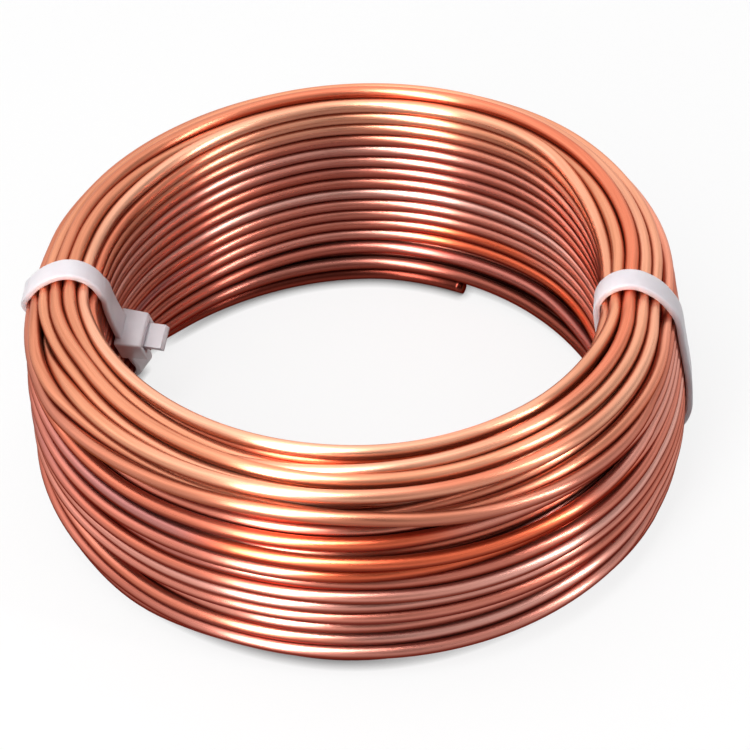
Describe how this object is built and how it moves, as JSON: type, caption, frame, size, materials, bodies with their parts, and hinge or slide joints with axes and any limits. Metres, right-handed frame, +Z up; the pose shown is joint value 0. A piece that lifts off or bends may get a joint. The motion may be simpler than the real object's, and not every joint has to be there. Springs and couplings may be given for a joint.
{
  "type": "copper wire coil",
  "caption": "Coil of bare round copper wire, wound in close layers round an open eye, lying on its end and held by two nylon cable ties.",
  "frame": {"origin": "on the axis of the coil's eye, at the floor plane that the coil lies on", "axes": "+Z up along the axis of the eye, +X from the axis towards the tie on the right, between the two ties' sides of the coil"},
  "size_m": [0.1236, 0.121, 0.0419],
  "materials": {
    "copper": "bright drawn copper, lightly tarnished",
    "nylon": "translucent natural nylon"
  },
  "bodies": {
    "root": {"wire_coil": "copper", "tie_right": "nylon", "tie_left": "nylon"}
  },
  "joints": []
}
